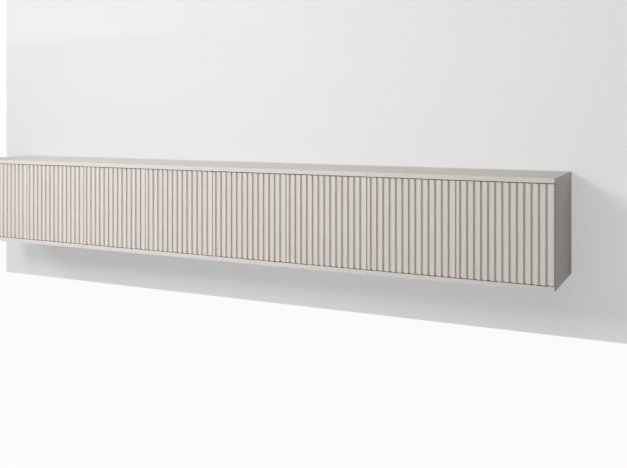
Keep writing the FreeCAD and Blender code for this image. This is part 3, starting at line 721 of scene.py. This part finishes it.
def only(*pieces):
    """Select these pieces and nothing else. Operators work on the first."""
    object_mode()
    for piece in pieces:
        piece.select_set(True)
    bpy.context.view_layer.objects.active = pieces[0]


def edit(piece):
    """Open this piece in edit mode with everything selected."""
    only(piece)
    bpy.ops.object.mode_set(mode="EDIT")
    bpy.ops.mesh.select_all(action="SELECT")


def pick(kind, test):
    """In edit mode, select each VERT, EDGE or FACE whose middle and direction pass test."""
    bpy.ops.mesh.select_mode(type=kind)
    bpy.ops.mesh.select_all(action="DESELECT")
    mesh = bmesh.from_edit_mesh(bpy.context.object.data)
    if kind == "FACE":
        parts = [(face, face.calc_center_median(), face.normal) for face in mesh.faces]
    elif kind == "EDGE":
        ends = [(edge, *(vert.co for vert in edge.verts)) for edge in mesh.edges]
        parts = [(edge, (start + end) / 2, (end - start).normalized()) for edge, start, end in ends]
    else:
        parts = [(vert, vert.co, vert.normal) for vert in mesh.verts]
    picked = 0
    for part, at, direction in parts:
        wanted = test(at, direction)
        part.select_set(wanted)
        picked += wanted
    mesh.select_flush_mode()
    bmesh.update_edit_mesh(bpy.context.object.data)
    return picked


def slice_at(point, normal, **settings):
    """Cut every face along a plane."""
    bpy.ops.mesh.select_all(action="SELECT")
    bpy.ops.mesh.bisect(plane_co=point, plane_no=normal, **settings)


def round_off(kind, test, radius, segments):
    """Bevel each VERT or EDGE that passes test, and say how many there were."""
    found = pick(kind, test)
    affect = "VERTICES" if kind == "VERT" else "EDGES"
    bpy.ops.mesh.bevel(affect=affect, offset=radius, segments=segments)
    return found


def pull(offset):
    """Extrude the selection by offset."""
    bpy.ops.mesh.extrude_region_move(TRANSFORM_OT_translate={"value": offset})


def merge_flat():
    """In edit mode, make one face of those that lie side by side in one plane."""
    bpy.ops.mesh.select_all(action="SELECT")
    bpy.ops.mesh.dissolve_limited(angle_limit=math.radians(1))


def smooth(piece, angle):
    """Smooth shading, but crisp where two faces meet at more than angle."""
    only(piece)
    bpy.ops.object.shade_smooth_by_angle(angle=math.radians(angle))
    return piece


def close_up(piece, angle=35):
    """Merge doubles, turn the faces outwards and smooth all but the crisp edges."""
    bpy.ops.mesh.select_all(action="SELECT")
    bpy.ops.mesh.remove_doubles(threshold=0.000001)
    bpy.ops.mesh.normals_make_consistent(inside=False)
    return smooth(piece, angle)


def turned(name, centre, axis, radius, steps, sides=48, angle=35):
    """A round piece. It starts as a disc, and each step is a distance and a new radius."""
    piece = disc(name, centre, radius, axis, sides)
    edit(piece)
    centre, axis = Vector(centre), Vector(axis)
    for distance, wanted in steps:
        pull(axis * distance)
        centre = centre + axis * distance
        ratio = wanted / radius
        bpy.ops.transform.resize(value=(ratio, ratio, ratio), center_override=centre)
        radius = wanted
    return close_up(piece, angle)

# %% [markdown]
# ### Joining and placing
#
# Cutters are taken out of a piece with a boolean that is applied at once. A finished piece gets
# its finish, is copied with a mesh of its own wherever it repeats, and is then hung on the body
# it moves with, while the solids that it stands for are hidden.

# %% Tools that join and place pieces
def combine(piece, operation, *others):
    """Add the others' shapes to the piece with UNION, or take them out with DIFFERENCE."""
    for other in others:
        only(piece)
        modifier = piece.modifiers.new("combine", "BOOLEAN")
        modifier.operation, modifier.solver, modifier.object = operation, "EXACT", other
        bpy.ops.object.modifier_apply(modifier=modifier.name)
        bpy.data.objects.remove(other)


def copy_of(piece, name, move):
    """A copy with its own mesh, moved by a matrix."""
    twin = piece.copy()
    twin.data = piece.data.copy()
    twin.name = twin.data.name = name
    bpy.context.scene.collection.objects.link(twin)
    twin.data.transform(move)
    return twin


def into_place(place, turn, home):
    """The move that takes what is at home to place, turned."""
    return Matrix.Translation(place) @ turn @ Matrix.Translation(-Vector(home))


def fit(piece, body, replaced):
    """Let a finished piece ride on a body, and hide the solids that it stands for."""
    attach(piece, body)
    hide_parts(replaced)


no_turn = Matrix.Identity(4)
half_turn = {axis: Matrix.Rotation(math.pi, 4, axis) for axis in "XYZ"}
print("half turns about", list(half_turn))

# %% [markdown]
# ## The slatted doors
#
# A real door is a board with grooves milled along its whole height. The quick way to the same
# shape is to draw its cross-section once and pull it up. The section starts as one flat plate.
# Bisecting it at every groove edge, and once at the groove's depth, cuts it into cells, and
# those in front of the grooves are deleted. Beveling the corner points rounds the slats, and
# one extrusion makes the door.

# %% Doors
slat_radius, groove_radius, narrowest_strip = 0.0014, 0.0005, 0.0080
on_plane = 0.00001                 # a point closer to a plane than this lies on it
door_low, door_high = (Vector(corner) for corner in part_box("door_1"))
groove_floor = door_low.y + groove_depth
groove_starts = [door_low.x + first_strip]
while groove_starts[-1] + slat_pitch + groove_width + narrowest_strip < door_high.x:
    groove_starts.append(groove_starts[-1] + slat_pitch)


def in_a_groove(x):
    return any(start < x < start + groove_width for start in groove_starts)


left_hung = plate("door_1_front", door_low, door_high)
edit(left_hung)
for x in [start + offset for start in groove_starts for offset in (0, groove_width)]:
    slice_at((x, 0, 0), (1, 0, 0))
slice_at((0, groove_floor, 0), (0, 1, 0))
pick("FACE", lambda at, _: in_a_groove(at.x) and at.y < groove_floor)
bpy.ops.mesh.delete(type="FACE")
merge_flat()
corners = round_off("VERT", lambda at, _: at.y < door_low.y + on_plane, slat_radius, 5)
round_off("VERT", lambda at, _: abs(at.y - groove_floor) < on_plane, groove_radius, 3)
bpy.ops.mesh.select_all(action="SELECT")
pull((0, 0, door_high.z - door_low.z))
close_up(left_hung, 30)
print(len(groove_starts), "grooves,", corners, "rounded corners,",
      len(left_hung.data.polygons), "faces, size", [round(v, 4) for v in left_hung.dimensions])

# %% [markdown]
# ### Bores for the hinge cups, and the eight doors
#
# Each door carries two hinge cups, sunk into its back near the hanging edge. A right-hung door
# has its bores on the other side, but its slats run in the same order, so it is not a mirror
# image: the plain door is copied first, and each copy gets its own two bores.

# %% Door bores and copies
cup_radius, cup_depth, cup_from_edge, hinge_from_end = 0.01755, 0.0120, 0.0210, 0.070
hinge_heights = (door_low.z + hinge_from_end, door_high.z - hinge_from_end)
cabinet_pitch = 2 * door_pitch


def bore_for_cups(door, hinge_x):
    """Two blind round bores in the back of a door, their rims slightly eased."""
    above, eased = 0.0020, 0.0002
    for z in hinge_heights:
        combine(door, "DIFFERENCE", turned(
            "bore", (hinge_x, door_high.y + above, z), (0, -1, 0), cup_radius + above + eased,
            [(above, cup_radius + eased), (eased, cup_radius), (cup_depth - eased, cup_radius)]))


right_hung = copy_of(left_hung, "door_2_front", no_turn)
bore_for_cups(left_hung, door_low.x + cup_from_edge)
bore_for_cups(right_hung, door_high.x - cup_from_edge)
right_hung.data.transform(Matrix.Translation((door_pitch, 0, 0)))
doors = [left_hung, right_hung]
for index in range(2, door_count):
    shift = Matrix.Translation((cabinet_pitch * (index // 2), 0, 0))
    doors.append(copy_of(doors[index % 2], f"door_{index + 1}_front", shift))
for number, door in enumerate(doors, 1):
    finish_in(door, slatted)
    fit(door, f"door_{number}", f"door_{number}")
print(len(doors), "doors,", len(left_hung.data.polygons), "faces each")

# %% [markdown]
# ## Latch rods
#
# Behind each door a sprung rod pushes it open after a press. Its soft tip is ringed so that it
# grips, a thin neck holds the tip, and the rod behind has four shallow flutes that run in the
# housing. It is turned in one piece, and the flutes are faces at each quarter turn, inset and
# pushed in.

# %% Latch rods
rod_low, rod_high = (Vector(corner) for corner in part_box("door_1_latch_plunger"))
rod_axis = Vector(((rod_low.x + rod_high.x) / 2, rod_low.y, (rod_low.z + rod_high.z) / 2))
rod_radius, chamfer, flutes_from = 0.0040, 0.0006, 0.0200
tip_steps = [(0.0003, 0.0011), (-0.0003, 0.0013), (0.0, 0.0020), (0.0003, 0.0021),
             (-0.0002, 0.0023), (0.0001, 0.0029), (0.0005, 0.0035), (0.0008, 0.0038),
             (0.0020, 0.0038), (0.0003, 0.0035)]
neck_steps = [(0.0, 0.0030), (0.0012, 0.0030), (0.0, 0.0036), (0.0004, rod_radius),
              (0.0070, rod_radius)]
tip_end = rod_axis.y + sum(distance for distance, _ in tip_steps)
rest = rod_high.y - rod_low.y - chamfer - sum(distance for distance, _ in tip_steps + neck_steps)
end_steps = [(rest, rod_radius), (chamfer, rod_radius - chamfer)]
latch_rod = turned("latch_rod_1", rod_axis, (0, 1, 0), 0.0010,
                   tip_steps + neck_steps + end_steps, sides=32, angle=40)


def on_a_flute(at, normal):
    """Two faces of the long run at each quarter turn."""
    angle = math.degrees(math.atan2(at.z - rod_axis.z, at.x - rod_axis.x)) % 90
    on_the_run = at.y > rod_axis.y + flutes_from and abs(normal.y) < 0.1
    return on_the_run and (angle < 12 or angle > 78)


edit(latch_rod)
fluted = pick("FACE", on_a_flute)
bpy.ops.mesh.inset(thickness=0.0002, depth=-0.0004)
close_up(latch_rod, 40)
latch_rod.data.materials.append(grey_plastic)
latch_rod.data.materials.append(soft_tip)
edit(latch_rod)
pick("FACE", lambda at, _: at.y < tip_end + on_plane)
bpy.context.object.active_material_index = 1
bpy.ops.object.material_slot_assign()
object_mode()


def at_each_latch(master, name):
    """Each door's number, with the master for the first door and a copy for every other."""
    for number in range(1, door_count + 1):
        shift = Vector(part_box(f"door_{number}_latch_plunger")[0]) - rod_low
        yield number, master if number == 1 else copy_of(master, f"{name}_{number}",
                                                         Matrix.Translation(shift))


for number, rod in at_each_latch(latch_rod, "latch_rod"):
    fit(rod, f"door_{number}_plunger", f"door_{number}_latch_plunger")
print("latch rods", door_count, "flute faces", fluted, "faces", len(latch_rod.data.polygons))

# %% [markdown]
# ## Screws
#
# One pan-head screw serves the latches and the hinge arms. The head is turned from its crown
# down, the cross is cut with two thin blocks, and the shank goes on below, where it is hidden
# in the board.

# %% Screw
def cut_cross(piece, centre, axis, length, slit, depth):
    """Cut a cross for the screwdriver into a face that looks up or down, or along X."""
    for wide, tall in ((length, slit), (slit, length)):
        half = Vector((wide, tall, depth) if abs(axis.z) > 0.5 else (depth, wide, tall)) / 2
        combine(piece, "DIFFERENCE", block("cross", centre - half, centre + half))


def pan_head_screw(seat, into, shank=0.00175, head=0.0036, length=0.0100):
    """A screw whose head lies on seat and whose shank runs along into."""
    seat, into = Vector(seat), Vector(into)
    crown, point = seat - into * 0.0018, 0.0012
    screw = turned("screw", crown, into, head * 0.55,
                   [(0.00015, head * 0.75), (0.00035, head * 0.92), (0.0005, head),
                    (0.0008, head), (0.0, shank), (length - point, shank),
                    (point, shank * 0.3)], sides=24, angle=40)
    cut_cross(screw, crown, into, length=head * 1.25, slit=0.0009, depth=0.002)
    finish_in(screw, nickelled_steel)
    return screw


def join(piece, *others):
    """Make the others part of the piece. Each keeps its finish."""
    only(piece, *others)
    bpy.ops.object.join()

# %% [markdown]
# ## Latch housings
#
# The rod runs in a moulded block under the top panel. A moulder would round its free edges,
# thin its flanks to even ribs so they don't sink, and recess the underside. The block is one
# box with its flanks cut into bays by bisecting; each bay is inset and pushed in, which leaves
# the ribs standing.

# %% Latch housings
housing_half, housing_tall, housing_long = 0.0090, 0.0100, 0.0760
mouth = Vector((rod_axis.x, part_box("push_latch_housings")[0][1], rod_axis.z))
housing_top, housing_foot = mouth.z + housing_tall, mouth.z - housing_tall
bays = [0.010, 0.0215, 0.033, housing_long - 0.0115, housing_long - 0.023]


def upright(edge):
    return abs(edge.z) > 0.5


housing = block("latch_housing_1", mouth + Vector((-housing_half, 0, -housing_tall)),
                mouth + Vector((housing_half, housing_long, housing_tall)))
edit(housing)
round_off("EDGE", lambda at, edge: at.y < mouth.y + on_plane if upright(edge)
          else at.z < housing_foot + on_plane, 0.0020, 4)
for bay in bays:
    slice_at((0, mouth.y + bay, 0), (0, 1, 0))
flanks = pick("FACE", lambda at, out: abs(out.x) > 0.99 and at.y > mouth.y + bays[0])
bpy.ops.mesh.inset(thickness=0.0013, depth=-0.0009, use_individual=True)
pick("FACE", lambda at, out: out.z < -0.99 and at.y > mouth.y + bays[0])
bpy.ops.mesh.inset(thickness=0.0022, depth=-0.0007)
close_up(housing, 30)
print("latch housing with", flanks, "bays in its flanks")

# %% [markdown]
# An eared flange crosses the block and takes two screws, and a collar stands round the mouth.
# The bore is cut last, so it comes out clean.

# %% Flange, collar, bore and screws
ear_reach, ear_half, ear_sheet = 0.0090, 0.0080, 0.0025
ear_y, ear_under = mouth.y + 0.6 * housing_long, housing_top - ear_sheet
half_span = housing_half + ear_reach
ears = block("ears", (mouth.x - half_span, ear_y - ear_half, ear_under),
             (mouth.x + half_span, ear_y + ear_half, housing_top))
edit(ears)
round_off("EDGE", lambda _, edge: upright(edge), 0.0045, 8)
round_off("EDGE", lambda at, edge: at.z < ear_under + on_plane and not upright(edge), 0.0005, 2)
close_up(ears, 30)
collar = turned("collar", mouth + Vector((0, 0.002, 0)), (0, -1, 0), 0.0068,
                [(0.0024, 0.0068), (0.0003, 0.0065), (0.0, 0.0056), (-0.0004, 0.0048)], angle=30)
combine(housing, "UNION", ears, collar)
bore_radius = 0.00412
combine(housing, "DIFFERENCE", turned("bore", mouth - Vector((0, 0.004, 0)), (0, 1, 0),
                                      bore_radius, [(0.0700, bore_radius)]))
smooth(housing, 30)
finish_in(housing, grey_plastic)
join(housing, *(pan_head_screw((mouth.x + side * (housing_half + ear_reach / 2), ear_y,
                                ear_under), (0, 0, 1)) for side in (-1, 1)))
for _, twin in at_each_latch(housing, "latch_housing"):
    fit(twin, "carcass", "push_latch_housings")
print("latch housings", door_count, "faces", len(housing.data.polygons))

# %% [markdown]
# ## Cams and their bolts
#
# A cam is a round casting let into the side panel, flush with its inner face. Half a turn of it
# pulls the head of a bolt that stands out of the top or bottom panel. Its face has a rim, a
# dished middle, a cross for the screwdriver and a small arrow that points at the joint. The
# bolt has a thread, a thin shank and a ball head inside the cam.

# %% Cams and bolts
cam_radius, cam_thickness, cam_from_joint, rim = 0.0074, 0.0125, 0.0240, 0.0004
cam_depths = (side_front + 0.052, wall_plane - 0.080)
joint_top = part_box("cabinet_1_top_panel")[0][2]
joint_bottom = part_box("cabinet_1_bottom_panel")[1][2]
inner_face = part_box("cabinet_1_left_side")[1][0]
cam_face = Vector((inner_face, cam_depths[0], joint_top - cam_from_joint))
cam = turned("cam_model", cam_face - Vector((cam_thickness, 0, 0)), (1, 0, 0), cam_radius,
             [(cam_thickness - rim, cam_radius), (rim, cam_radius - rim), (0.0, 0.0058),
              (-0.0006, 0.0054), (0.0, 0.0032), (0.0003, 0.0028)], angle=30)
cut_cross(cam, cam_face, Vector((1, 0, 0)), length=0.0044, slit=0.0010, depth=0.0050)
arrow_radius, arrow_start = 0.0009, cam_face + Vector((0.001, 0, 0.0043))
combine(cam, "DIFFERENCE", turned("arrow", arrow_start, (-1, 0, 0), arrow_radius,
                                  [(0.0022, arrow_radius)], sides=3))
finish_in(cam, zinc_alloy)

bolt_start = Vector((inner_face - 0.0090, cam_depths[0], joint_top + 0.0110))
thread = [(0.0006, 0.0030), (0.0006, 0.0024), (0.0006, 0.0030)] * 5
shank = [(0.0010, 0.0030), (0.0002, 0.0026), (0.0140, 0.0026), (0.0006, 0.0018), (0.0016, 0.0018)]
ball = [(0.0006, 0.0029), (0.0012, 0.0030), (0.0008, 0.0022)]
bolt = turned("cam_bolt_model", bolt_start, (0, 0, -1), 0.0022, thread + shank + ball,
              sides=24, angle=40)
finish_in(bolt, nickelled_steel)
print("cam", len(cam.data.polygons), "faces, bolt", len(bolt.data.polygons), "faces")

# %% [markdown]
# ### Thirty-two times
#
# Each cabinet has eight cams: left and right, top and bottom, front and back. A copy for the
# right side is turned half round the upright axis, one for the lower joint half round the axis
# that runs along the wall. Turning keeps a shape right side out, where a mirror would turn it
# inside out.

# %% Cams and bolts in place
from itertools import product

home = (row_start, cam_depths[0], joint_top)
joints = ((joint_top, no_turn), (joint_bottom, half_turn["X"]))
places = product(range(cabinet_count), (0, 1), joints, cam_depths)
for number, (cabinet, right, (joint_z, upside), depth) in enumerate(places, 1):
    seam_x = row_start + (cabinet + right) * cabinet_pitch
    turn = (half_turn["Z"] if right else no_turn) @ upside
    move = into_place((seam_x, depth, joint_z), turn, home)
    for master, name in ((cam, "cam"), (bolt, "cam_bolt")):
        fit(copy_of(master, f"{name}_{number}", move), "carcass", "cam_locks")
bpy.data.objects.remove(cam)
bpy.data.objects.remove(bolt)
print("cams and bolts", number)

# %% [markdown]
# ## Hinge arms
#
# The arm of a concealed hinge is a strip of steel folded into a channel. It clips over the
# mounting plate, and the link swings in the notch at its nose. A press bends it with round
# shoulders. So the outline is cut from a flat plate and drawn up, and the two bends are
# beveled.

# %% Hinge arms
arm_sheet, arm_half = 0.0016, 0.0080
arm_pin = Vector((inner_face + 0.0098, side_front + 0.0150, hinge_heights[0]))
arm_web, arm_open = arm_pin.x + 0.0040, inner_face + 0.0032
arm_nose, arm_tail = arm_pin.y - 0.0045, arm_pin.y + 0.0620

arm = plate("hinge_arm_model", (arm_open, arm_nose, arm_pin.z - arm_half), (arm_web, arm_tail))
edit(arm)
shoulder = Vector((arm_open, arm_pin.y + 0.0060, 0))
slope = Vector((arm_pin.x - 0.0045, arm_nose, 0)) - shoulder
slice_at(shoulder, (slope.y, -slope.x, 0), clear_outer=True)
round_off("VERT", lambda at, _: at.y < arm_nose + on_plane, 0.0026, 6)
round_off("VERT", lambda at, _: at.y > arm_tail - on_plane, 0.0020, 5)
bpy.ops.mesh.select_all(action="SELECT")
pull((0, 0, 2 * arm_half))
bpy.ops.mesh.select_all(action="SELECT")
bpy.ops.mesh.normals_make_consistent(inside=False)
round_off("EDGE", lambda at, _: abs(abs(at.z - arm_pin.z) - arm_half) < on_plane
          and at.x > arm_pin.x + 0.0005, 0.0017, 4)
close_up(arm, 30)
print("arm blank", [round(v, 4) for v in arm.dimensions])

# %% [markdown]
# Blocks cut the rest: the inside of the channel, the notch, a slot for the clamping screw and a
# sunk bead that keeps the thin sheet stiff. Each block has its own rounded edges, so that what
# it leaves has round corners, as pressed steel has. The notch meets the channel in one plane,
# where a boolean leaves needless edges, so the flat faces are merged after it. A domed rivet
# and two screws complete the arm.

# %% Cut-outs, rivet and screws
inner_half, inner_web, past = arm_half - arm_sheet, arm_web - arm_sheet, 0.001
notch_end, adjuster_y, clamp_y = arm_pin.y + 0.0090, arm_pin.y + 0.0200, arm_pin.y + 0.0460


def cutting_block(span_y, half_z, span_x, radius, corner):
    """A block across the arm. The edges that pass the test get the radius."""
    piece = block("cutter", (span_x[0], span_y[0], arm_pin.z - half_z),
                  (span_x[1], span_y[1], arm_pin.z + half_z))
    edit(piece)
    round_off("EDGE", corner, radius, 6)
    return close_up(piece)


def across(_, edge):
    return abs(edge.x) > 0.5


channel = cutting_block((arm_nose - past, arm_tail + past), inner_half,
                        (arm_open - past, inner_web), 0.0006,
                        lambda at, edge: at.x > inner_web - on_plane and abs(edge.y) > 0.5)
notch = cutting_block((arm_nose - past, notch_end), inner_half,
                      (arm_open - past, arm_web + past), 0.0020,
                      lambda at, edge: at.y > notch_end - on_plane and across(at, edge))
slot = cutting_block((clamp_y - 0.0050, clamp_y + 0.0050), 0.0025,
                     (arm_web - 0.003, arm_web + past), 0.0024, across)
bead = cutting_block((adjuster_y + 0.0065, clamp_y - 0.0080), 0.0014,
                     (arm_web - 0.0005, arm_web + past), 0.0013, across)
combine(arm, "DIFFERENCE", channel, notch, slot, bead)
edit(arm)
merge_flat()
smooth(arm, 30)

dome = [(0.0002, 0.0019), (0.0003, 0.0024), (0.0003, 0.0025)]
far_dome = [(0.0003, 0.0024), (0.0003, 0.0019), (0.0002, 0.0012)]
pin_radius = 0.0015
rivet = turned("rivet", arm_pin - Vector((0, 0, arm_half + 0.0008)), (0, 0, 1), 0.0012,
               dome + [(0.0, pin_radius), (2 * arm_half, pin_radius), (0.0, 0.0025)] + far_dome,
               sides=24, angle=30)
join(arm, rivet, *(pan_head_screw((arm_web, y, arm_pin.z), (-1, 0, 0), length=0.0070)
                   for y in (adjuster_y, clamp_y)))
finish_in(arm, nickelled_steel)
print("hinge arm", len(arm.data.polygons), "faces, size", [round(v, 4) for v in arm.dimensions])

# %% [markdown]
# ### Sixteen arms
#
# A right-hung door needs its arms the other way round. The arm is the same above and below its
# middle, so half a turn about the axis that runs into the wall does it.

# %% Hinge arms in place
home = (row_start, 0, arm_pin.z)
for number, (index, hinge_z) in enumerate(product(range(door_count), hinge_heights), 1):
    seam_x = row_start + (index // 2 + index % 2) * cabinet_pitch
    move = into_place((seam_x, 0, hinge_z), half_turn["Y"] if index % 2 else no_turn, home)
    fit(copy_of(arm, f"hinge_arm_{number}", move), "carcass", "hinge_arms")
bpy.data.objects.remove(arm)
print("hinge arms", number)
